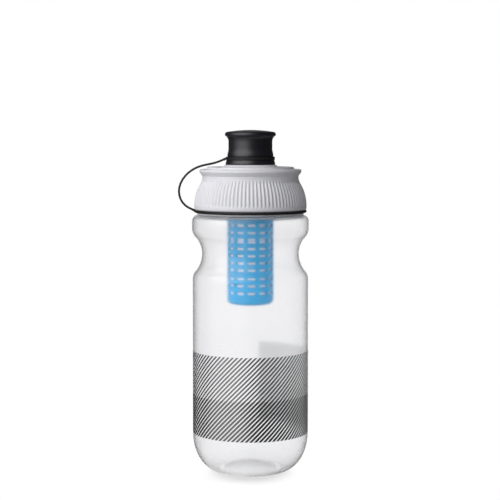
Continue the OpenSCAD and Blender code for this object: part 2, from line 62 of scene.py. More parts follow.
MM = 0.001
TURN = 2 * math.pi
MERGE = 2e-7  # metres within which two points are one
HAIR = 0.01  # millimetres within which two heights are the same
WHITE = "FFFFFF"
ROUND_AXIS = {"center": (0, 0, 0), "axis": (0, 0, 1)}

Point = tuple[float, float]
Place = tuple[float, float, float]
Test = Callable[[Vector], bool]
Material = bpy.types.Material
Tree = bpy.types.NodeTree
Socket = bpy.types.NodeSocket


class Body(Enum):
    """Bodies of the model that pieces ride on."""

    BOTTLE = "bottle"
    CAP = "cap"
    NOZZLE = "nozzle"
    FILTER = "filter"
    TETHER = "tether"
    COVER = "cover"


class Slot(Enum):
    """Material slots of the record."""

    WALL = "clear_body"
    CAP = "cap_grey"
    STEM = "stem_grey"
    WHITE_SEAL = "white_seal"
    DARK_SEAL = "dark_seal"
    SLEEVE = "soft_sleeve"
    COVER = "cover_black"
    TETHER = "tether_black"
    FILTER = "filter_blue"
    FLEECE = "fleece_white"
    CARBON = "carbon"


class Part(Enum):
    """Parts of a mesh that can be picked: Blender's word, the list and the place of each."""

    POINTS = ("VERT", "vertices", "co")
    FACES = ("FACE", "polygons", "center")


class Edge(float, Enum):
    """Roundings of moulded edges, in millimetres."""

    SHARP = 0.0
    CRISP = 0.15
    FINE = 0.2
    PLAIN = 0.3
    SOFT = 0.4


def linear(colour: str) -> tuple[float, float, float, float]:
    """Turn an sRGB hex colour into linear light.

    Args:
        colour: Six hex digits.

    Returns:
        Red, green, blue and an alpha of 1.
    """
    shares = [int(colour[i:i + 2], 16) / 255 for i in (0, 2, 4)]
    red, green, blue = (s / 12.92 if s <= 0.04045 else ((s + 0.055) / 1.055) ** 2.4 for s in shares)
    return red, green, blue, 1.0


def blank(owner: Material | bpy.types.World) -> Tree:
    """Give a material or a world an empty node tree.

    Args:
        owner: The material or world.

    Returns:
        Its node tree.
    """
    owner.use_nodes = True
    owner.node_tree.nodes.clear()
    return owner.node_tree


def feed(tree: Tree, node: bpy.types.Node, inputs: dict[Any, Any]) -> None:
    """Set or link a node's inputs.

    Args:
        tree: Node tree of the node.
        node: The node.
        inputs: Values, or the sockets to link, by the name or number of the input.
    """
    for name, value in inputs.items():
        if isinstance(value, Socket):
            tree.links.new(value, node.inputs[name])
        else:
            node.inputs[name].default_value = value


def add(tree: Tree, kind: str, settings: dict[str, Any], inputs: dict[Any, Any]) -> bpy.types.Node:
    """Add a node with its settings and links.

    Args:
        tree: Node tree that gets the node.
        kind: The node's type.
        settings: The node's own properties.
        inputs: Values, or the sockets to link, by the name or number of the input.

    Returns:
        The new node.
    """
    node = tree.nodes.new(kind)
    for name, value in settings.items():
        setattr(node, name, value)
    feed(tree, node, inputs)
    return node


def span(node: str) -> Point:
    """Heights of the lowest and the highest point of a node of the model."""
    low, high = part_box(node)
    return low.z / MM, high.z / MM


def arc(centre: Point, radius: float, start: float, end: float, steps: int) -> list[Point]:
    """Points of an arc in the order of its angles.

    Args:
        centre: Centre of the arc.
        radius: Radius of the arc.
        start: First angle, in degrees.
        end: Last angle, in degrees.
        steps: Number of steps.

    Returns:
        The points, both ends included.
    """
    angles = [math.radians(start + (end - start) * i / steps) for i in range(steps + 1)]
    return [(centre[0] + radius * math.cos(a), centre[1] + radius * math.sin(a)) for a in angles]


def flank_sum(across: float, rise: float) -> float:
    """Radius of both arcs of a flank together."""
    return rise / math.sin(2 * math.atan(abs(across) / rise))


def flank(low: Point, high: Point, first: float, steps: int = 12) -> list[Point]:
    """S-shaped side of two arcs that is upright at both ends.

    Args:
        low: Lower end.
        high: Upper end.
        first: Radius of the lower arc.
        steps: Steps in each arc.

    Returns:
        Points from the lower to the upper end.
    """
    across, rise = high[0] - low[0], high[1] - low[1]
    way = math.copysign(1, across)
    turn = 2 * math.atan(abs(across) / rise)
    second = flank_sum(across, rise) - first
    points = []
    for i in range(steps + 1):
        a = turn * i / steps
        points.append((low[0] + way * first * (1 - math.cos(a)), low[1] + first * math.sin(a)))
    for i in range(1, steps + 1):
        a = turn * (1 - i / steps)
        points.append((high[0] - way * second * (1 - math.cos(a)), high[1] - second * math.sin(a)))
    return points


def rounded(
    corners: Sequence[Place], steps: int = 4, straight: float = 88.0, most: float = 0.48
) -> list[Point]:
    """Closed outline with its corners rounded.

    Args:
        corners: Radius, height and rounding of each corner.
        steps: Steps in each rounded corner.
        straight: Half the angle, in degrees, above which a corner counts as straight.
        most: Share of a side that a rounding may take up at most.

    Returns:
        Points of the outline.
    """
    points: list[Point] = []
    for i, (x, z, size) in enumerate(corners):
        here = Vector((x, z))
        before = Vector(corners[i - 1][:2]) - here
        after = Vector(corners[(i + 1) % len(corners)][:2]) - here
        half = before.angle(after) / 2
        if size == 0 or half > math.radians(straight):
            points.append((x, z))
            continue
        reach = min(size / math.tan(half), most * before.length, most * after.length)
        size = reach * math.tan(half)
        middle = here + (before.normalized() + after.normalized()).normalized() * size / math.sin(half)
        spoke = here + before.normalized() * reach - middle
        sweep = (here + after.normalized() * reach - middle).angle_signed(spoke)
        for k in range(steps + 1):
            a = sweep * k / steps
            points.append((
                middle.x + spoke.x * math.cos(a) - spoke.y * math.sin(a),
                middle.y + spoke.x * math.sin(a) + spoke.y * math.cos(a),
            ))
    return points


def upright(outline: Sequence[Point]) -> list[Place]:
    """Places of an outline drawn in the XZ plane."""
    return [(r, 0.0, z) for r, z in outline]


def around(place: Vector) -> Point:
    """Distance from the axis and angle round it, in degrees from 0 to 360."""
    return math.hypot(place.x, place.y), math.degrees(math.atan2(place.y, place.x)) % 360


class Workpiece:
    """A mesh on the bench: drawn point by point, shaped with Blender's tools, put on a body."""

    def __init__(self, name: str, places: Sequence[Place], closed: bool) -> None:
        """Draw a chain of points by extruding its first one.

        Args:
            name: Name of the piece.
            places: The points, in millimetres.
            closed: True to come back to the first point.
        """
        bpy.ops.object.select_all(action="DESELECT")
        at = Vector(places[0])
        bpy.ops.mesh.primitive_plane_add(size=MM, location=at * MM)
        self.obj = bpy.context.object
        self.obj.name = self.obj.data.name = name
        bpy.ops.object.transform_apply(location=True, rotation=True, scale=True)
        bpy.ops.object.mode_set(mode="EDIT")
        bpy.ops.mesh.select_mode(type="VERT")
        bpy.ops.mesh.select_all(action="SELECT")
        bpy.ops.mesh.merge(type="CENTER")
        for place in [*places[1:], *(places[:1] if closed else [])]:
            step = (Vector(place) - at) * MM
            bpy.ops.mesh.extrude_vertices_move(TRANSFORM_OT_translate={"value": step})
            at = Vector(place)
        self.weld()

    def weld(self) -> None:
        """Merge points that lie on each other."""
        bpy.ops.mesh.select_all(action="SELECT")
        bpy.ops.mesh.remove_doubles(threshold=MERGE)

    def face_out(self) -> None:
        """Turn every face outwards."""
        bpy.ops.mesh.select_all(action="SELECT")
        bpy.ops.mesh.normals_make_consistent(inside=False)

    def turn(self, steps: int) -> "Workpiece":
        """Spin the outline round the bottle's axis.

        Args:
            steps: Steps in the full turn.

        Returns:
            The piece.
        """
        bpy.ops.mesh.select_all(action="SELECT")
        bpy.ops.mesh.spin(steps=steps, angle=TURN, **ROUND_AXIS)
        self.weld()
        self.face_out()
        return self

    def repeat(self, count: int) -> None:
        """Copy the whole mesh round the axis.

        Args:
            count: Number of copies, the first one included.
        """
        bpy.ops.mesh.select_all(action="SELECT")
        last = TURN * (count - 1) / count
        bpy.ops.mesh.spin(steps=count - 1, dupli=True, angle=last, **ROUND_AXIS)

    def pick(self, part: Part, test: Test) -> None:
        """Select the points or the faces whose place passes a test.

        Args:
            part: Points, or faces by their middles.
            test: What the place, in millimetres, has to pass.
        """
        kind, items, place = part.value
        bpy.ops.mesh.select_mode(type=kind)
        bpy.ops.mesh.select_all(action="DESELECT")
        bpy.ops.object.mode_set(mode="OBJECT")
        for item in getattr(self.obj.data, items):
            item.select = test(getattr(item, place) / MM)
        bpy.ops.object.mode_set(mode="EDIT")

    def draw_in(self, share: float) -> None:
        """Move the selected points towards the axis, to a share of their radius."""
        bpy.ops.transform.resize(value=(share, share, 1), center_override=(0, 0, 0))

    def modify(self, kind: str, **settings: Any) -> None:
        """Add a modifier and apply it.

        Args:
            kind: The modifier's type.
            settings: The modifier's own properties.
        """
        bpy.ops.object.mode_set(mode="OBJECT")
        modifier = self.obj.modifiers.new(kind.title(), kind)
        for name, value in settings.items():
            setattr(modifier, name, value)
        bpy.ops.object.modifier_apply(modifier=modifier.name)
        bpy.ops.object.mode_set(mode="EDIT")

    def finish(
        self, body: Body, slot: Slot, material: Material | None = None, *nodes: str, smooth: float = 40
    ) -> None:
        """Leave edit mode, smooth the piece, dress it and put it on its body.

        Args:
            body: Body that the piece rides on.
            slot: Material slot of the record; not used.
            material: Its material, unless it has been given its materials.
            nodes: Nodes of the model that it stands for.
            smooth: Edges flatter than this angle, in degrees, are smooth.
        """
        bpy.ops.object.mode_set(mode="OBJECT")
        bpy.ops.object.shade_smooth_by_angle(angle=math.radians(smooth))
        if material:
            self.obj.data.materials.append(material)
        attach(self.obj, body.value)
        if nodes:
            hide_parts(*nodes)
        log.info("%s: %d faces on %s", self.obj.name, len(self.obj.data.polygons), body.value)


@dataclass(frozen=True)
class Finish:
    """A plain opaque finish, and what every other finish starts from."""

    name: str
    colour: str
    roughness: float
    ior: float = 1.5

    def make(self) -> Material:
        """Build the material.

        Returns:
            The material, ready for a mesh.
        """
        material = bpy.data.materials.new(self.name)
        tree = blank(material)
        surface = add(tree, "ShaderNodeBsdfPrincipled", {}, {
            "Base Color": linear(self.colour), "Roughness": self.roughness, "IOR": self.ior,
        })
        output = add(tree, "ShaderNodeOutputMaterial", {}, {"Surface": surface.outputs["BSDF"]})
        feed(tree, surface, self.detail(tree))
        feed(tree, output, self.filling(tree))
        return material

    def detail(self, tree: Tree) -> dict[str, Any]:
        """Inputs of the surface besides its plain ones; a plain finish has none."""
        return {}

    def filling(self, tree: Tree) -> dict[str, Any]:
        """Inputs of the output besides the surface; an opaque finish has none."""
        return {}

    @staticmethod
    def pattern(tree: Tree, kind: str, size: float, **inputs: float) -> Socket:
        """Lay a texture on the piece's own coordinates.

        Args:
            tree: Node tree of the material.
            kind: Type of the texture's node.
            size: How many millimetres its features are apart.
            inputs: The texture's other inputs.

        Returns:
            The texture's first output.
        """
        place = add(tree, "ShaderNodeTexCoord", {}, {}).outputs["Object"]
        return add(tree, kind, {}, {"Vector": place, "Scale": 1 / (size * MM), **inputs}).outputs[0]


@dataclass(frozen=True)
class MouldedPlastic(Finish):
    """Injection-moulded polypropylene: a satin skin with the fine grain of a spark-eroded mould."""

    grain: float = 0.9
    grain_depth: float = 0.02
    grain_strength: float = 0.6
    shade: float = 0.05
    cloud: float = 14.0
    cloud_range: Point = (0.3, 0.7)
    gloss_share: float = 0.1

    def detail(self, tree: Tree) -> dict[str, Any]:
        """Mottle the colour and gloss a little and add the grain, drawn coarse so that it shows.

        Args:
            tree: Node tree of the material.

        Returns:
            Colour, roughness and normal of the surface.
        """
        cloud = self.pattern(tree, "ShaderNodeTexNoise", self.cloud, Detail=4.0)
        grain = self.pattern(tree, "ShaderNodeTexNoise", self.grain, Detail=3.0)
        dark, pale = (
            (*(min(1.0, light * share) for light in linear(self.colour)[:3]), 1.0)
            for share in (1 - self.shade, 1 + self.shade)
        )
        tint = add(tree, "ShaderNodeMix", {"data_type": "RGBA"}, {0: cloud, 6: dark, 7: pale})
        gloss = add(tree, "ShaderNodeMapRange", {}, {
            "Value": cloud, "From Min": self.cloud_range[0], "From Max": self.cloud_range[1],
            "To Min": self.roughness * (1 - self.gloss_share),
            "To Max": self.roughness * (1 + self.gloss_share),
        })
        bump = add(tree, "ShaderNodeBump", {}, {
            "Height": grain, "Distance": self.grain_depth * MM, "Strength": self.grain_strength,
        })
        return {
            "Base Color": tint.outputs[2], "Roughness": gloss.outputs["Result"],
            "Normal": bump.outputs["Normal"],
        }


@dataclass(frozen=True)
class HazyWall(Finish):
    """Blow-moulded low-density polyethylene: clear but hazy, a little wavy, grey where seen edge-on.

    The wall is cloudier at its foot and at the top of its shoulder, where it is thick.
    """

    absorb: str = "B4B8BC"
    density: float = 11.0
    wave: float = 40.0
    wave_depth: float = 0.012
    wave_strength: float = 0.5
    frost: float = 0.4
    # Heights where the cloud starts and where it is full, and how much of the frost it has there.
    frost_foot: Point = (9.0, 3.0)
    foot_share: float = 0.3
    frost_top: Point = (160.5, 163.0)
    top_share: float = 0.45
    top_milk: float = 0.16

    def detail(self, tree: Tree) -> dict[str, Any]:
        """Let light through, ripple the wall and cloud its thick ends.

        Args:
            tree: Node tree of the material.

        Returns:
            Normal, roughness and clearness of the surface.
        """
        wave = self.pattern(tree, "ShaderNodeTexNoise", self.wave, Detail=1.0)
        bump = add(tree, "ShaderNodeBump", {}, {
            "Height": wave, "Distance": self.wave_depth * MM, "Strength": self.wave_strength,
        })
        place = add(tree, "ShaderNodeTexCoord", {}, {}).outputs["Object"]
        height = add(tree, "ShaderNodeSeparateXYZ", {}, {0: place}).outputs["Z"]
        top, foot = (
            add(tree, "ShaderNodeMapRange", {"interpolation_type": "SMOOTHSTEP"}, {
                "Value": height, "From Min": start * MM, "From Max": end * MM, "To Max": most,
            }).outputs["Result"]
            for (start, end), most in ((self.frost_top, 1.0), (self.frost_foot, self.foot_share))
        )
        cloud = add(tree, "ShaderNodeMath", {"operation": "MULTIPLY_ADD"}, {
            0: top, 1: self.top_share, 2: foot,
        })
        gloss = add(tree, "ShaderNodeMix", {}, {0: cloud.outputs[0], 2: self.roughness, 3: self.frost})
        clear = add(tree, "ShaderNodeMix", {}, {0: top, 2: 1.0, 3: 1 - self.top_milk})
        return {
            "Normal": bump.outputs["Normal"], "Roughness": gloss.outputs[0],
            "Transmission Weight": clear.outputs[0],
        }

    def filling(self, tree: Tree) -> dict[str, Any]:
        """Take some of the light on its way through the wall.

        Args:
            tree: Node tree of the material.

        Returns:
            Volume of the wall.
        """
        volume = add(tree, "ShaderNodeVolumeAbsorption", {}, {
            "Color": linear(self.absorb), "Density": self.density,
        })
        return {"Volume": volume.outputs["Volume"]}


@dataclass(frozen=True)
class ScreenInk(Finish):
    """Screen-printed ink: dense black film with slightly uneven cover."""

    mesh: float = 0.5
    thin: str = "2E2D2F"
    thin_range: Point = (0.45, 0.75)

    def detail(self, tree: Tree) -> dict[str, Any]:
        """Thin the film here and there, at about the spacing of the screen's threads.

        Args:
            tree: Node tree of the material.

        Returns:
            Colour of the surface.
        """
        cover = self.pattern(tree, "ShaderNodeTexNoise", self.mesh, Detail=2.0)
        share = add(tree, "ShaderNodeMapRange", {}, {
            "Value": cover, "From Min": self.thin_range[0], "From Max": self.thin_range[1],
        })
        tint = add(tree, "ShaderNodeMix", {"data_type": "RGBA"}, {
            0: share.outputs["Result"], 6: linear(self.colour), 7: linear(self.thin),
        })
        return {"Base Color": tint.outputs[2]}


@dataclass(frozen=True)
class FibreFelt(Finish):
    """Needled polyester fleece: matt white, with a tangle of short fibres and painted shade in the
    hollows between them.
    """

    # hollow: painted shade, the colour of the low places between the fibres
    hollow: str = "F0F0F5"
    fibre: float = 0.7
    depth: float = 0.12
    strength: float = 0.8
    sheen: float = 0.3

    def detail(self, tree: Tree) -> dict[str, Any]:
        """Raise a tangle of fibres, drawn coarser than the real ones so that they show, and paint the
        hollows between them a little darker as shade.

        Args:
            tree: Node tree of the material.

        Returns:
            Sheen, colour and normal of the surface.
        """
        tangle = self.pattern(tree, "ShaderNodeTexNoise", self.fibre, Detail=5.0, Distortion=2.5)
        # The low places of the tangle get the darker hollow colour: painted shade.
        tint = add(tree, "ShaderNodeMix", {"data_type": "RGBA"}, {
            0: tangle, 6: linear(self.hollow), 7: linear(self.colour),
        })
        bump = add(tree, "ShaderNodeBump", {}, {
            "Height": tangle, "Distance": self.depth * MM, "Strength": self.strength,
        })
        return {
            "Sheen Weight": self.sheen, "Base Color": tint.outputs[2], "Normal": bump.outputs["Normal"],
        }


@dataclass(frozen=True)
class PressedCarbon(Finish):
    """Sintered carbon block: dull black grains pressed together."""

    rim: str = "2B2B2D"
    grit: float = 0.6
    depth: float = 0.15
    strength: float = 0.7

    def detail(self, tree: Tree) -> dict[str, Any]:
        """Show the grains as cells of slightly different black.

        Args:
            tree: Node tree of the material.

        Returns:
            Colour and normal of the surface.
        """
        grit = self.pattern(tree, "ShaderNodeTexVoronoi", self.grit)
        tint = add(tree, "ShaderNodeMix", {"data_type": "RGBA"}, {
            0: grit, 6: linear(self.colour), 7: linear(self.rim),
        })
        bump = add(tree, "ShaderNodeBump", {}, {
            "Height": grit, "Distance": self.depth * MM, "Strength": self.strength,
        })
        return {"Base Color": tint.outputs[2], "Normal": bump.outputs["Normal"]}


class Palette:
    """The finishes of this bottle, each built once."""

    def __init__(self) -> None:
        """Build every material."""
        self.wall = HazyWall("hazy_polyethylene", "FCFCFD", 0.14, 1.5).make()
        self.ink = ScreenInk("screen_ink", "0E0D0F", 0.3, 2.3).make()
        self.under_ink = Finish("white_under_ink", WHITE, 0.6).make()
        self.cap = MouldedPlastic("grey_polypropylene", "CACACF", 0.55, 1.45).make()
        self.stem = MouldedPlastic("pale_polypropylene", "D2D3D6", 0.42, 1.49).make()
        self.cover = MouldedPlastic("black_polypropylene", "121018", 0.36, 1.6, shade=0.12).make()
        self.tether = MouldedPlastic("black_elastomer", "1B191B", 0.5, 1.35, grain=0.5).make()
        self.sleeve = MouldedPlastic("soft_elastomer", "5E6065", 0.55, 1.4, grain=0.6).make()
        self.white_seal = MouldedPlastic("white_silicone", "E6E6E3", 0.5, 1.41, shade=0.03).make()
        self.dark_seal = MouldedPlastic("nitrile_rubber", "29292B", 0.55, 1.4).make()
        self.filter = MouldedPlastic("blue_polypropylene", "1AA6E0", 0.3, 1.49, shade=0.06).make()
        self.fleece = FibreFelt("filter_fleece", WHITE, 0.9, 1.4).make()
        self.carbon = PressedCarbon("carbon_block", "141415", 0.8, 1.4).make()


def dress(node: str, material: Material) -> None:
    """Give a node of the model a better material than the one that it came with.

    Args:
        node: Name of the node.
        material: Its material.
    """
    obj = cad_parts[node]
    obj.data.materials.clear()
    obj.data.materials.append(material)
    log.info("%s: kept, dressed in %s", node, material.name)


@dataclass
class Studio:
    """Camera, surroundings and floor."""

    camera_left: float = 0.25
    camera_away: float = 900.0
    camera_up: float = 210.0
    camera_pitch: float = 4.42
    camera_clip: float = 50.0
    focal_px: float = 1428.0
    frame_px: float = 500.0
    sensor: float = 36.0
    # Light on the object, all round and from the soft light, and the same inside the clear body.
    ambient: float = 0.12
    key: float = 3.15
    inner: float = 1.1
    inner_key: float = 2.6
    key_aim: Place = (-0.62, -0.62, 0.47)
    key_edge: Point = (0.6, 0.95)
    # What shows in hazy walls and in gloss.
    haze: float = 0.8
    dim: float = 0.06
    shine: float = 2.3
    floor_shine: float = 0.75
    backdrop_aim: Place = (0, 1, 0)
    backdrop_edge: Point = (0.94, 0.985)
    # The floor and its shadow, which falls to the front.
    floor_colour: str = "C8C8C8"
    floor_r: float = 3000.0
    floor_sides: int = 64
    floor_lean: Place = (0.0, 0.9, 0.44)
    floor_dark: float = 0.46
    shade_reach: float = 24.0
    shade_range: Point = (0.1, 0.52)
    shade_samples: int = 16

    def place_camera(self) -> None:
        """Set up the camera at the photograph's viewing angle."""
        bpy.ops.object.select_all(action="DESELECT")
        bpy.ops.object.camera_add(
            location=(-self.camera_left * MM, -self.camera_away * MM, self.camera_up * MM),
            rotation=(math.radians(90 - self.camera_pitch), 0, 0),
        )
        camera = bpy.context.object
        camera.data.sensor_width = self.sensor
        camera.data.lens = self.focal_px * self.sensor / self.frame_px
        camera.data.clip_start = self.camera_clip * MM
        bpy.context.scene.camera = camera

    @staticmethod
    def sort_rays(tree: Tree) -> dict[str, Socket]:
        """Tell rays that look at the background from rays that carry light.

        Args:
            tree: Node tree of the world or the floor.

        Returns:
            Sockets that are 1 for one kind of ray, next to those of the Light Path: seen, for the
            camera's own rays and those that have met nothing but clear walls; inside, for those that
            clear walls have thrown aside; gloss, for reflections on the outside; lit, for light on
            its way into the clear body.
        """
        rays = dict(add(tree, "ShaderNodeLightPath", {}, {}).outputs.items())
        for name, first, operation, second in (
            ("clear", "Is Transmission Ray", "SUBTRACT", "Diffuse Depth"),
            ("straight", "clear", "SUBTRACT", "Glossy Depth"),
            ("mirrored", "Is Glossy Ray", "SUBTRACT", "Diffuse Depth"),
            ("thrown", "mirrored", "MULTIPLY", "Transmission Depth"),
            ("seen", "Is Camera Ray", "MAXIMUM", "straight"),
            ("inside", "clear", "MAXIMUM", "thrown"),
            ("gloss", "mirrored", "SUBTRACT", "Transmission Depth"),
            ("lit", "Is Transmission Ray", "MULTIPLY", "Diffuse Depth"),
        ):
            rays[name] = add(tree, "ShaderNodeMath", {"operation": operation, "use_clamp": True}, {
                0: rays[first], 1: rays[second],
            }).outputs[0]
        return rays

    @staticmethod
    def by_ray(tree: Tree, rays: dict[str, Socket], level: Socket, own: dict[str, Any]) -> Socket:
        """Give some kinds of ray a level of their own.

        Args:
            tree: Node tree of the world or the floor.
            rays: The kinds of ray.
            level: Level for all other rays.
            own: Level of each kind, where a later kind goes before an earlier one.

        Returns:
            The level for every ray.
        """
        for kind, value in own.items():
            level = add(tree, "ShaderNodeMix", {}, {0: rays[kind], 2: level, 3: value}).outputs[0]
        return level

    @staticmethod
    def toward(tree: Tree, way: Socket, aim: Place, edge: Point) -> Socket:
        """Soft patch of the surroundings round a direction.

        Args:
            tree: Node tree of the world or the floor.
            way: Direction of the place that is painted.
            aim: Direction of the patch's middle.
            edge: Cosines of the angles where it starts and where it is full.

        Returns:
            A socket that is 1 inside the patch and 0 outside it.
        """
        near = add(tree, "ShaderNodeVectorMath", {"operation": "DOT_PRODUCT"}, {
            0: way, 1: Vector(aim).normalized(),
        })
        patch = add(tree, "ShaderNodeMapRange", {"interpolation_type": "SMOOTHSTEP"}, {
            "Value": near.outputs["Value"], "From Min": edge[0], "From Max": edge[1],
        })
        return patch.outputs["Result"]

    def mirror(self, tree: Tree, way: Socket, softbox: Socket, shine: float) -> Socket:
        """What gloss shows: a white backdrop behind the bottle, the soft light and a dim studio.

        Args:
            tree: Node tree of the world or the floor.
            way: Direction of the place that is painted.
            softbox: Patch of the soft light.
            shine: How bright the soft light is in gloss.

        Returns:
            The level.
        """
        glow = add(tree, "ShaderNodeMath", {"operation": "MULTIPLY_ADD"}, {
            0: softbox, 1: shine, 2: self.dim,
        })
        backdrop = self.toward(tree, way, self.backdrop_aim, self.backdrop_edge)
        shown = add(tree, "ShaderNodeMath", {"operation": "MAXIMUM"}, {0: glow.outputs[0], 1: backdrop})
        return shown.outputs[0]

    def paint_surroundings(self) -> None:
        """Make the background white to look at, with a large soft light on the left as light.

        The light that reaches the inside of the clear body gets the glow of the white surroundings
        besides.
        """
        world = bpy.data.worlds.new("studio")
        tree = blank(world)
        rays = self.sort_rays(tree)
        way = add(tree, "ShaderNodeTexCoord", {}, {}).outputs["Generated"]
        softbox = self.toward(tree, way, self.key_aim, self.key_edge)
        light, inner = (
            add(tree, "ShaderNodeMath", {"operation": "MULTIPLY_ADD"}, {
                0: softbox, 1: key, 2: base,
            }).outputs[0]
            for key, base in ((self.key, self.ambient), (self.inner_key, self.inner))
        )
        gloss = self.mirror(tree, way, softbox, self.shine)
        level = self.by_ray(tree, rays, light, {
            "lit": inner, "gloss": gloss, "inside": self.haze, "seen": 1.0,
        })
        white = add(tree, "ShaderNodeBackground", {}, {"Strength": level, "Color": linear(WHITE)})
        add(tree, "ShaderNodeOutputWorld", {}, {"Surface": white.outputs[0]})
        bpy.context.scene.world = world

    def lay_floor(self) -> None:
        """Lay a pale floor that is white to look at, mirrors the soft light and keeps a soft shadow."""
        bpy.ops.object.select_all(action="DESELECT")
        bpy.ops.mesh.primitive_circle_add(
            vertices=self.floor_sides, radius=self.floor_r * MM, fill_type="NGON"
        )
        floor = bpy.context.object
        floor.name = "floor"
        material = bpy.data.materials.new("white_floor")
        tree = blank(material)
        rays = self.sort_rays(tree)
        lean = add(tree, "ShaderNodeCombineXYZ", {}, dict(enumerate(self.floor_lean)))
        shade = add(tree, "ShaderNodeAmbientOcclusion", {"samples": self.shade_samples}, {
            "Distance": self.shade_reach * MM, "Normal": lean.outputs[0],
        })
        depth = add(tree, "ShaderNodeMapRange", {}, {
            "Value": shade.outputs["AO"], "To Min": self.floor_dark, "To Max": 1.0,
            "From Min": self.shade_range[0], "From Max": self.shade_range[1],
        })
        place = add(tree, "ShaderNodeTexCoord", {}, {}).outputs["Object"]
        way = add(tree, "ShaderNodeVectorMath", {"operation": "NORMALIZE"}, {0: place}).outputs[0]
        softbox = self.toward(tree, way, (*self.key_aim[:2], 0), self.key_edge)
        gloss = self.mirror(tree, way, softbox, self.floor_shine)
        level = self.by_ray(tree, rays, gloss, {
            "lit": self.inner, "inside": 1.0, "seen": 1.0, "Is Camera Ray": depth.outputs["Result"],
        })
        white = add(tree, "ShaderNodeEmission", {}, {"Strength": level, "Color": linear(WHITE)})
        matt = add(tree, "ShaderNodeBsdfDiffuse", {}, {"Color": linear(self.floor_colour)})
        shown = rays["seen"]
        for kind in ("inside", "gloss", "lit"):
            shown = add(tree, "ShaderNodeMath", {"operation": "MAXIMUM"}, {
                0: shown, 1: rays[kind],
            }).outputs[0]
        mix = add(tree, "ShaderNodeMixShader", {}, {0: shown, 1: matt.outputs[0], 2: white.outputs[0]})
        add(tree, "ShaderNodeOutputMaterial", {}, {"Surface": mix.outputs[0]})
        floor.data.materials.append(material)


@dataclass
class Assembly:
    """A sub-assembly and the finishes that it is dressed in."""

    palette: Palette

    def build(self) -> None:
        """Make and dress the pieces of the sub-assembly."""
        raise NotImplementedError


@dataclass
class Tether(Assembly):
    """Cord that ties the cover to the ring under the cap."""

    diameter: float = 1.4
    round_steps: int = 3
    smooth: float = 50.0
    route: tuple[Point, ...] = (
        (-17.02, 197.47), (-18.6, 196.78), (-20.4, 196.08), (-22.5, 195.42), (-24.9, 194.86),
        (-27.5, 194.35), (-30.1, 193.76), (-32.6, 192.98), (-34.9, 191.97), (-37.05, 190.7),
        (-39.15, 189.1), (-41.05, 187.2), (-42.7, 184.95), (-44.0, 182.45), (-44.8, 179.9),
        (-45.05, 177.4), (-44.75, 175.0), (-44.05, 172.75), (-42.95, 170.75), (-41.5, 169.1),
        (-40.0, 167.85), (-38.45, 167.0), (-36.76, 166.2),
    )

    def length(self) -> float:
        """Length of the cord along its route, in millimetres."""
        return sum(math.dist(a, b) for a, b in zip(self.route, self.route[1:]))

    def build(self) -> None:
        """Make the cord as one smooth tube and dress its two rings."""
        points = [Vector((x, 0, z)) * MM for x, z in self.route]
        curve = bpy.data.curves.new("tether", "CURVE")
        curve.dimensions = "3D"
        curve.bevel_depth = self.diameter * MM / 2
        curve.bevel_resolution = self.round_steps
        curve.use_fill_caps = True
        spline = curve.splines.new("POLY")
        spline.points.add(len(points) - 1)
        for spot, point in zip(spline.points, points):
            spot.co = (*point, 1.0)
        cord = bpy.data.objects.new("tether", curve)
        bpy.context.scene.collection.objects.link(cord)
        bpy.ops.object.select_all(action="DESELECT")
        cord.select_set(True)
        bpy.context.view_layer.objects.active = cord
        bpy.ops.object.convert(target="MESH")
        cord = bpy.context.object
        bpy.ops.object.shade_smooth_by_angle(angle=math.radians(self.smooth))
        cord.data.materials.clear()
        cord.data.materials.append(self.palette.tether)
        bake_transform(cord)
        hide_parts("tether_cord")
        log.info("tether: cord of %.1f mm", self.length())
        for ring in ("cover_loop", "neck_loop"):
            dress(ring, self.palette.tether)


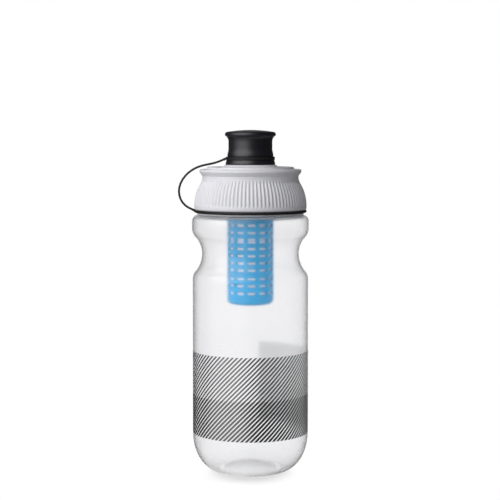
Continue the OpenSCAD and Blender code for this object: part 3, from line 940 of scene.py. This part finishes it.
@dataclass
class Bottle(Assembly):
    """Blow-moulded body with its neck and thread."""

    barrel_r: float = 36.5
    base_round_w: float = 16.8
    base_round_h: float = 24.0
    base_steps: int = 24
    barrel_h: float = 98.5
    waist_r: float = 30.6
    waist_lower_h: float = 15.9
    waist_upper_h: float = 16.1
    lower_share: float = 0.3
    upper_share: float = 0.63
    shoulder_h: float = 8.4
    shoulder_round: float = 4.0
    wall: float = 1.1
    push_up: float = 4.5
    push_up_steps: int = 8
    foot_w: float = 2.4
    neck_r: float = 28.0
    neck_wall: float = 1.8
    neck_root: float = 1.2
    rim_round: float = 0.5
    steps: int = 160
    thread_z: float = 174.5
    thread_turns: float = 1.4
    thread_lead: float = 5.0
    thread_h: float = 0.95
    thread_w: float = 1.9
    thread_sink: float = 0.05
    thread_end: float = 0.2
    thread_steps: int = 60
    shoulder_r: float = field(init=False)
    rim_z: float = field(init=False)

    def __post_init__(self) -> None:
        """Take the widest radius and the rim's height from the frame."""
        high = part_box("bottle_body")[1] / MM
        self.shoulder_r = high.y
        self.rim_z = high.z

    def barrel_z(self) -> float:
        """Height of the top of the straight barrel."""
        return self.base_round_h + self.barrel_h

    def base_r(self, z: float) -> float:
        """Outer radius at a height on the rounded base or the barrel."""
        drop = max(0.0, self.base_round_h - z) / self.base_round_h
        return self.barrel_r - self.base_round_w * (1 - math.sqrt(1 - drop * drop))

    def side(self, inset: float) -> list[Point]:
        """One side of the wall, from the middle of the base to the top of the shoulder.

        Args:
            inset: How far the side lies in from the outer face.

        Returns:
            Its points, from the bottom up.
        """
        foot_r = self.barrel_r - self.base_round_w
        hollow_r = foot_r - self.foot_w
        hollow = (hollow_r ** 2 + self.push_up ** 2) / (2 * self.push_up)
        waist_z = self.barrel_z() + self.waist_lower_h
        bead_z = waist_z + self.waist_upper_h
        top_z = bead_z + self.shoulder_h - self.shoulder_round
        lower = self.lower_share * flank_sum(self.barrel_r - self.waist_r, self.waist_lower_h) - inset
        upper = self.upper_share * flank_sum(self.shoulder_r - self.waist_r, self.waist_upper_h) + inset
        points = []
        for i in range(self.push_up_steps + 1):
            r = hollow_r * i / self.push_up_steps
            points.append((r, self.push_up - hollow + math.sqrt(hollow ** 2 - r ** 2) + inset))
        for i in range(self.base_steps + 1):
            a = math.pi / 2 * i / self.base_steps
            points.append((
                foot_r + (self.base_round_w - inset) * math.sin(a),
                self.base_round_h - (self.base_round_h - inset) * math.cos(a),
            ))
        barrel = (self.barrel_r - inset, self.barrel_z())
        waist = (self.waist_r - inset, waist_z)
        bead = (self.shoulder_r - inset, bead_z)
        points += flank(barrel, waist, lower) + flank(waist, bead, upper)[1:]
        shoulder = (self.shoulder_r - self.shoulder_round, top_z)
        return points + arc(shoulder, self.shoulder_round - inset, 0, 90, steps=10)

    def build(self) -> None:
        """Turn the wall and wind the thread round the neck."""
        shoulder_z = self.barrel_z() + self.waist_lower_h + self.waist_upper_h + self.shoulder_h
        neck_in = self.neck_r - self.neck_wall
        root_z = shoulder_z + self.neck_root
        root = arc((self.neck_r + self.neck_root, root_z), self.neck_root, 270, 180, steps=6)
        rim_low = self.rim_z - self.rim_round
        rim = arc((self.neck_r - self.rim_round, rim_low), self.rim_round, 0, 90, steps=4)
        rim += arc((neck_in + self.rim_round, rim_low), self.rim_round, 90, 180, steps=4)
        under_z = shoulder_z - self.wall + self.neck_root
        under = arc((neck_in + self.neck_root, under_z), self.neck_root, 180, 270, steps=6)
        outline = self.side(0) + root + rim + under + self.side(self.wall)[::-1]
        shell = Workpiece("bottle_shell", upright(outline), closed=False).turn(self.steps)
        shell.finish(Body.BOTTLE, Slot.WALL, self.palette.wall, "bottle_body", smooth=60)
        thread = self.wind_thread("neck_thread", self.neck_r - self.thread_sink, self.thread_h)
        thread.finish(Body.BOTTLE, Slot.WALL, self.palette.wall)

    def wind_thread(self, name: str, root_r: float, height: float, drop: float = 0.0) -> Workpiece:
        """Wind a screw thread of this bottle's lead that runs out at both ends.

        Args:
            name: Name of the piece.
            root_r: Radius that the thread stands on.
            height: How far it stands out; less than 0 for a thread on the inside of a skirt.
            drop: How far it starts below the bottle's own thread.

        Returns:
            The thread, still in edit mode.
        """
        z, foot, crest = self.thread_z - drop, self.thread_w / 2, self.thread_w / 4
        corners = [
            (root_r, z - foot), (root_r + height, z - crest),
            (root_r + height, z + crest), (root_r, z + foot),
        ]
        thread = Workpiece(name, upright(corners), closed=True)
        steps = int(self.thread_steps * self.thread_turns)
        thread.modify(
            "SCREW", angle=TURN * self.thread_turns, steps=steps, render_steps=steps,
            screw_offset=self.thread_lead * self.thread_turns * MM,
        )
        bpy.ops.mesh.select_mode(type="EDGE")
        bpy.ops.mesh.select_all(action="DESELECT")
        bpy.ops.mesh.select_non_manifold()
        thread.draw_in((root_r - height * self.thread_end) / (root_r + height / 2))
        bpy.ops.mesh.fill()
        thread.face_out()
        return thread


@dataclass
class PrintedBand(Assembly):
    """Band of diagonal hatching printed round the foot of the barrel, with a bolder lower half.

    The print leaves part of the turn clear, at the back on the left.
    """

    bottle: Bottle
    low_z: float = 24.8
    split_z: float = 49.8
    high_z: float = 77.05
    lines: int = 80
    slope: float = 45.0
    bold: float = 0.65
    fine: float = 0.49
    clear: Point = (81.0, 180.0)  # angles round the axis between which nothing is printed
    film: float = 0.05
    lift: float = 0.05
    steps: int = 14

    def build(self) -> None:
        """Print both halves of the band."""
        self.hatch("print_lower", self.low_z, self.split_z, self.bold)
        self.hatch("print_upper", self.split_z, self.high_z, self.fine)

    def hatch(self, name: str, low: float, high: float, cover: float) -> None:
        """Print one half: wind one line round the barrel and repeat it.

        Args:
            name: Name of the piece.
            low: Height of its lower edge.
            high: Height of its upper edge.
            cover: Share of the half that is ink.
        """
        bottle = self.bottle
        r = bottle.barrel_r + self.lift
        half = math.pi / self.lines * cover
        per_mm = 1 / (math.tan(math.radians(self.slope)) * bottle.barrel_r)
        start = (low - self.low_z) * per_mm
        across = [(r * math.cos(a), r * math.sin(a), low) for a in (start - half, start, start + half)]
        line = Workpiece(name, across, closed=False)
        line.modify(
            "SCREW", angle=(high - low) * per_mm, screw_offset=(high - low) * MM,
            steps=self.steps, render_steps=self.steps,
        )
        for i in range(self.steps + 1):
            z = low + (high - low) * i / self.steps
            if z < bottle.base_round_h:
                line.pick(Part.POINTS, lambda p: abs(p.z - z) < HAIR)
                line.draw_in((bottle.base_r(z) + self.lift) / r)
        line.repeat(self.lines)
        for edge in self.clear:
            normal = (-math.sin(math.radians(edge)), math.cos(math.radians(edge)), 0)
            bpy.ops.mesh.select_all(action="SELECT")
            bpy.ops.mesh.bisect(plane_co=(0, 0, 0), plane_no=normal)
        line.pick(Part.FACES, lambda p: self.clear[0] < around(p)[1] < self.clear[1])
        bpy.ops.mesh.delete(type="FACE")
        line.modify("SOLIDIFY", thickness=self.film * MM, offset=0)
        line.face_out()
        for ink in (self.palette.ink, self.palette.under_ink):
            line.obj.data.materials.append(ink)
        line.pick(Part.FACES, lambda p: around(p)[0] < bottle.base_r(p.z) + self.lift - self.film / 4)
        line.obj.active_material_index = 1
        bpy.ops.object.material_slot_assign()
        line.finish(Body.BOTTLE, Slot.TETHER)


@dataclass
class Cap(Assembly):
    """Screw cap: fluted bell, recess, lip, deck with two pockets, collar for the cover, inner thread."""

    bottle: Bottle
    foot_z: float = field(init=False)
    belly_r: float = field(init=False)
    collar_top_z: float = field(init=False)
    bead_h: float = 0.8
    bead: float = 2.2
    bell_up: float = 2.8
    belly_up: float = 2.4
    bell_top_up: float = 19.2
    bell_edge: float = 1.2
    bell_foot: float = 0.6
    bell_skin: float = 2.6
    curve_up: float = 0.5
    curve_rows: int = 27
    recess_r: float = 30.3
    recess_h: float = 0.5
    recess_step: float = 0.1
    recess_round: float = 2.0
    skirt_in: float = 29.6
    skirt_wall: float = 1.8
    neck_in: float = 28.6
    relief_h: float = 8.0
    crown_h: float = 10.4
    lip_over: float = 1.8
    lip_drop: float = 3.2
    lip_under: float = 0.6
    lip_round: float = 0.9
    deck_r: float = 27.2
    deck_t: float = 4.3
    deck_rise: float = 1.4
    deck_slope: float = 0.3
    boss_r: float = 16.0
    boss_flare: float = 1.7
    boss_h: float = 1.3
    collar_r: float = 13.4
    collar_wall: float = 1.4
    hub_r: float = 9.55
    flutes: int = 90
    flute_steps: int = 6
    flute_groove: Point = (1.6, 4.4)  # between which of a flute's steps its groove lies
    flute_depth: float = 0.7
    flute_band: float = 3.2
    flute_over: float = 1.8
    flute_skin: float = 0.05
    crease_up: float = 2.6
    crease_h: float = 0.5
    crease: float = 0.2
    pocket_in: float = 18.0
    pocket_out: float = 25.9
    pocket_depth: float = 2.0
    pocket_span: float = 96.0
    pocket_edge_w: float = 0.35
    pocket_edge_h: float = 0.3

    def __post_init__(self) -> None:
        """Take the foot, the belly and the top from the frame."""
        low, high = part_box("cap_shell")
        self.foot_z = low.z / MM
        self.belly_r = high.y / MM
        self.collar_top_z = high.z / MM

    def belly_z(self) -> float:
        """Height of the bell's widest part."""
        return self.foot_z + self.bell_up + self.belly_up

    def deck_z(self) -> float:
        """Height of the deck."""
        return self.foot_z + self.bell_top_up + self.crown_h

    def bell_curve(self) -> Point:
        """Work out the curve of the bell above its widest part.

        Returns:
            Radius of the curve, and its slope at its top as an angle.
        """
        rise = self.bell_top_up - self.bell_up - self.belly_up
        across = self.belly_r - self.recess_r - self.bell_edge
        curve = (rise ** 2 + across ** 2) / (2 * across)
        return curve, math.asin(rise / curve)

    def hollow(self) -> Point:
        """Work out the hollow between the bell's slope and the recess.

        Returns:
            Radius of the hollow, and the height of its middle.
        """
        slope = self.bell_curve()[1]
        radius = self.bell_edge / (1 - math.cos(slope))
        return radius, self.foot_z + self.bell_top_up + radius * math.sin(slope)

    def bell_r(self, z: float) -> float:
        """Radius of the bell, or of the hollow above it.

        Args:
            z: Height.

        Returns:
            The radius there.
        """
        if z > self.foot_z + self.bell_top_up:
            radius, middle = self.hollow()
            return self.recess_r + radius - math.sqrt(radius ** 2 - min(0.0, z - middle) ** 2)
        curve = self.bell_curve()[0]
        return self.belly_r - curve + math.sqrt(curve ** 2 - (z - self.belly_z()) ** 2)

    def outline(self) -> list[Point]:
        """Closed outline of the cap's section, outside up and inside down.

        Returns:
            Points of the outline.
        """
        foot, bell, top = self.foot_z, self.foot_z + self.bell_up, self.foot_z + self.bell_top_up
        deck = self.deck_z()
        boss, ceiling = deck + self.boss_h, deck - self.deck_t
        hollow_z = self.hollow()[1]
        crease_z = top + self.crease_up
        skirt_out = self.skirt_in + self.skirt_wall
        bead_r = skirt_out + self.bead
        relief_r = self.belly_r - self.bell_skin
        lip_r = self.recess_r + self.lip_over
        collar_in = self.collar_r - self.collar_wall
        skirt = rounded([
            (self.skirt_in, foot, Edge.PLAIN), (bead_r, foot, Edge.CRISP),
            (bead_r, foot + self.bead_h, Edge.CRISP), (skirt_out, foot + self.bead_h, Edge.SHARP),
            (skirt_out, bell + self.relief_h, Edge.PLAIN), (relief_r, bell + self.relief_h, Edge.PLAIN),
            (relief_r, bell, Edge.PLAIN), (self.bell_r(bell) - self.bell_foot, bell, Edge.PLAIN),
        ])
        shell = []
        for i in range(self.curve_rows + 1):
            z = bell + self.curve_up + (hollow_z - bell - self.curve_up) * i / self.curve_rows
            creased = abs(z - crease_z) < self.crease_h
            shell.append((self.bell_r(z) - (self.crease if creased else 0.0), z))
        crown = rounded([
            (self.recess_r, hollow_z + self.recess_step, Edge.SHARP),
            (self.recess_r, hollow_z + self.recess_h, self.recess_round),
            (lip_r, deck - self.lip_drop, self.lip_under), (lip_r, deck - self.deck_rise, self.lip_round),
            (self.deck_r + self.deck_slope, deck - self.deck_rise, Edge.PLAIN),
            (self.deck_r, deck, Edge.SOFT),
            (self.pocket_out, deck, Edge.SHARP), (self.pocket_in, deck, Edge.SHARP),
            (self.boss_r + self.boss_flare, deck, Edge.PLAIN), (self.boss_r, boss, Edge.SOFT),
            (self.collar_r, boss, Edge.SHARP), (self.collar_r, self.collar_top_z, Edge.PLAIN),
            (collar_in, self.collar_top_z, Edge.PLAIN), (collar_in, boss, Edge.SHARP),
            (self.hub_r, boss, Edge.FINE), (self.hub_r, ceiling, Edge.FINE),
            (self.neck_in, ceiling, Edge.SOFT), (self.neck_in, top, Edge.PLAIN),
            (self.skirt_in, top, Edge.PLAIN), (self.skirt_in, bell, Edge.SHARP),
            (skirt_out, bell, Edge.SHARP),
        ])
        # The crown's last two corners only give the corner before them its direction.
        return skirt + shell + crown[:-2]

    def build(self) -> None:
        """Turn the cap, press in its flutes and pockets and wind its thread."""
        cap = Workpiece("cap", upright(self.outline()), closed=True).turn(self.flutes * self.flute_steps)
        self.press_flutes(cap)
        self.sink_pockets(cap)
        cap.finish(Body.CAP, Slot.CAP, self.palette.cap, "cap_shell", smooth=62)
        bottle = self.bottle
        thread = bottle.wind_thread(
            "cap_thread", self.skirt_in + bottle.thread_sink, -bottle.thread_h, bottle.thread_lead / 2
        )
        thread.finish(Body.CAP, Slot.CAP, self.palette.cap)
        dress("cap_gasket", self.palette.white_seal)
        dress("spout_stem", self.palette.stem)
        dress("stem_seal", self.palette.dark_seal)

    def press_flutes(self, cap: Workpiece) -> None:
        """Draw every groove of the bell in towards the axis.

        Args:
            cap: The cap, turned with flute_steps points to each flute.
        """
        low = self.foot_z + self.bell_up + self.flute_band
        high = self.foot_z + self.bell_top_up + self.flute_over
        pitch = 360 / self.flutes
        start, end = self.flute_groove

        def in_groove(place: Vector) -> bool:
            """Find the points of the grooves.

            Args:
                place: Place of a point.

            Returns:
                True on the bell's skin in one of the grooves.
            """
            r, angle = around(place)
            phase = angle % pitch / pitch * self.flute_steps
            on_skin = r > self.bell_r(place.z) - self.flute_skin
            return start < phase < end and low < place.z < high and on_skin

        cap.pick(Part.POINTS, in_groove)
        cap.draw_in(1 - self.flute_depth / self.belly_r)

    def sink_pockets(self, cap: Workpiece) -> None:
        """Sink the two crescent pockets into the deck, with a sloped edge.

        Args:
            cap: The cap.
        """
        deck = self.deck_z()

        def in_pocket(place: Vector) -> bool:
            """Find the faces of the pockets.

            Args:
                place: Middle of a face.

            Returns:
                True on the deck inside one of the pockets.
            """
            r, angle = around(place)
            off = abs((angle + 90) % 180 - 90)
            return (abs(place.z - deck) < HAIR and self.pocket_in < r < self.pocket_out
                    and off < self.pocket_span / 2)

        cap.pick(Part.FACES, in_pocket)
        bpy.ops.mesh.inset(
            thickness=self.pocket_edge_w * MM, depth=-self.pocket_edge_h * MM, use_boundary=True
        )
        floor = (0, 0, -(self.pocket_depth - self.pocket_edge_h) * MM)
        bpy.ops.mesh.extrude_region_move(TRANSFORM_OT_translate={"value": floor})


@dataclass
class Spout(Assembly):
    """Push-pull nozzle with its soft sleeve."""

    nozzle_bore: float = 7.5
    nozzle_wide: float = 8.05
    nozzle_r: float = 9.55
    foot_r: float = 11.45
    foot_h: float = 1.5
    foot_slope: float = 0.3
    hole_r: float = 2.75
    top_t: float = 1.8
    sleeve_gap: float = 0.05
    sleeve_t: float = 1.3
    sleeve_h: float = 8.0
    sleeve_foot: Point = (0.35, 0.5)  # widths of its foot, below and where the curve starts
    sleeve_foot_h: float = 0.4
    sleeve_curve: float = 5.0
    tip_h: float = 2.0
    tip_round: float = 0.9
    steps: int = 96

    def build(self) -> None:
        """Turn the nozzle and the sleeve round its tip."""
        low, high = span("nozzle")
        foot, top = low + self.foot_h, high - self.top_t
        nozzle = Workpiece("push_pull_nozzle", upright(rounded([
            (self.nozzle_bore, low, Edge.FINE), (self.foot_r, low, Edge.SOFT),
            (self.foot_r, foot, Edge.SOFT), (self.nozzle_r, foot + self.foot_slope, Edge.PLAIN),
            (self.nozzle_r, high, Edge.PLAIN), (self.hole_r, high, Edge.SOFT),
            (self.hole_r, top, Edge.FINE), (self.nozzle_wide, top, Edge.SOFT),
            (self.nozzle_wide, foot, Edge.FINE), (self.nozzle_bore, foot, Edge.FINE),
        ])), closed=True).turn(self.steps)
        nozzle.finish(Body.NOZZLE, Slot.STEM, self.palette.stem, "nozzle")
        inner, outer = self.nozzle_r + self.sleeve_gap, self.nozzle_r + self.sleeve_t
        sleeve_low = high - self.sleeve_h
        flat, start = (inner + width for width in self.sleeve_foot)
        foot = sleeve_low + self.sleeve_foot_h
        side = flank((start, foot), (outer, high - self.tip_h), self.sleeve_curve)
        tip = arc((outer - self.tip_round, high - self.tip_round), self.tip_round, 0, 90, steps=6)
        outline = [(inner, sleeve_low), (flat, sleeve_low), *side, *tip, (inner, high)]
        sleeve = Workpiece("bite_sleeve_soft", upright(outline), closed=True).turn(self.steps)
        sleeve.finish(Body.NOZZLE, Slot.SLEEVE, self.palette.sleeve, "bite_sleeve")


@dataclass
class Cover(Assembly):
    """Black cover over the nozzle: foot, groove for the tether's ring, waist, flared rim, domed top."""

    inner_r: float = 12.4
    waist_r: float = 13.8
    rim_r: float = 16.05
    rim_round: float = 1.6
    rim_under: float = -25.0
    top_round: float = 1.7
    top_sweep: float = 78.0
    top_steps: int = 12
    foot_r: float = 15.8
    foot_h: float = 2.9
    foot_edge: float = 0.35
    step: float = 0.7
    groove_r: float = 14.0
    groove_h: float = 2.2
    draw_up: float = 0.35
    draw_h: float = 4.8
    draw_curve: float = 8.0
    height: float = 18.9
    roof_t: float = 2.6
    roof_round: float = 1.2
    seat_r: float = 13.7
    seat_h: float = 2.1
    flare_h: float = 3.7
    steps: int = 128

    def build(self) -> None:
        """Turn the cover."""
        low, high = span("mud_cover")
        groove = low + self.foot_h
        side = groove + self.groove_h
        rim = low + self.height
        step_r = self.waist_r + self.step
        foot = rounded([
            (self.seat_r, low, Edge.FINE), (self.foot_r, low, self.foot_edge),
            (self.foot_r - self.step, groove, Edge.PLAIN), (self.groove_r, groove, Edge.CRISP),
            (self.groove_r, side, Edge.CRISP), (step_r, side, Edge.PLAIN), (step_r, rim, Edge.SHARP),
        ])[:-1]
        draw_z = side + self.draw_up
        draw = flank((step_r, draw_z), (self.waist_r, draw_z + self.draw_h), self.draw_curve)
        edge = arc((self.rim_r - self.rim_round, rim), self.rim_round, self.rim_under, 0, steps=5)
        across = edge[0][0] - self.waist_r
        curve = (self.flare_h ** 2 + across ** 2) / (2 * across)
        sweep = math.degrees(math.asin(self.flare_h / curve))
        flare = (self.waist_r + curve, edge[0][1] - self.flare_h)
        flared = arc(flare, curve, 180, 180 - sweep, steps=10)
        edge += arc((self.rim_r - self.top_round, rim), self.top_round, 0, self.top_sweep, steps=10)[1:]
        top_r, top_z = edge[-1]
        ball = (top_r ** 2 + (high - top_z) ** 2) / (2 * (high - top_z))
        shares = [1 - i / self.top_steps for i in range(1, self.top_steps + 1)]
        top = [(top_r * s, high - ball + math.sqrt(ball ** 2 - (top_r * s) ** 2)) for s in shares]
        roof = high - self.roof_t
        corner = (self.inner_r - self.roof_round, roof - self.roof_round)
        hollow = [(0.0, roof), *arc(corner, self.roof_round, 90, 0, steps=6)]
        seat = low + self.seat_h
        hollow += [(self.inner_r, seat + self.seat_r - self.inner_r), (self.seat_r, seat)]
        outline = foot + draw + flared[:-1] + edge + top + hollow
        cover = Workpiece("nozzle_cover", upright(outline), closed=True).turn(self.steps)
        cover.finish(Body.COVER, Slot.COVER, self.palette.cover, "mud_cover")


@dataclass
class Cartridge(Assembly):
    """Filter cartridge: collar, slotted cage over white fleece and a carbon block, end cap."""

    radius: float = 14.7
    wall: float = 1.2
    rows: int = 10
    columns: int = 12
    pitch: float = 4.72
    slot_h: float = 1.6
    top_band: float = 2.65
    slot_faces: int = 4
    column_faces: int = 6
    slot_turn: float = 3.0
    edge: float = 0.18
    edge_angle: float = 50.0

    def build(self) -> None:
        """Build the cage and dress the rest."""
        self.build_cage()
        for node in ("filter_collar", "filter_end_cap"):
            dress(node, self.palette.filter)
        dress("filter_o_ring", self.palette.dark_seal)
        dress("filter_fleece", self.palette.fleece)
        dress("filter_core", self.palette.carbon)

    def build_cage(self) -> None:
        """Turn a tube with faces for every row of slots, open the slots, thicken and bevel it."""
        low, high = span("filter_cage")
        tops = [high - self.top_band - i * self.pitch for i in range(self.rows)]
        levels = [high] + [z for top in tops for z in (top, top - self.slot_h)] + [low]
        middle = self.radius - self.wall / 2
        turn = math.radians(self.slot_turn)
        edge = [(middle * math.cos(turn), middle * math.sin(turn), z) for z in levels]
        tube = Workpiece("cage", edge, closed=False).turn(self.columns * self.column_faces)
        share = 360 / self.columns

        def in_slot(place: Vector) -> bool:
            """Find the faces of the slots.

            Args:
                place: Middle of a face.

            Returns:
                True inside one of the slots.
            """
            angle = around(place)[1] - self.slot_turn
            off = abs((angle + share / 2) % share - share / 2) / share * self.column_faces
            return off < self.slot_faces / 2 and any(top - self.slot_h < place.z < top for top in tops)

        tube.pick(Part.FACES, in_slot)
        bpy.ops.mesh.delete(type="FACE")
        tube.modify("SOLIDIFY", thickness=self.wall * MM, offset=0)
        tube.modify(
            "BEVEL", width=self.edge * MM, segments=2, limit_method="ANGLE",
            angle_limit=math.radians(self.edge_angle),
        )
        tube.face_out()
        tube.finish(Body.FILTER, Slot.FILTER, self.palette.filter, "filter_cage")


def main() -> None:
    """Build the studio and every sub-assembly, in order."""
    logging.basicConfig(level=logging.INFO, format="%(message)s")
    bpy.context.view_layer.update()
    bpy.context.scene.view_settings.view_transform = "Standard"
    studio = Studio()
    studio.place_camera()
    palette = Palette()
    bottle = Bottle(palette)
    for assembly in (
        Tether(palette), bottle, PrintedBand(palette, bottle), Cap(palette, bottle),
        Spout(palette), Cover(palette), Cartridge(palette),
    ):
        assembly.build()
    studio.paint_surroundings()
    studio.lay_floor()


if __name__ == "__main__":
    main()
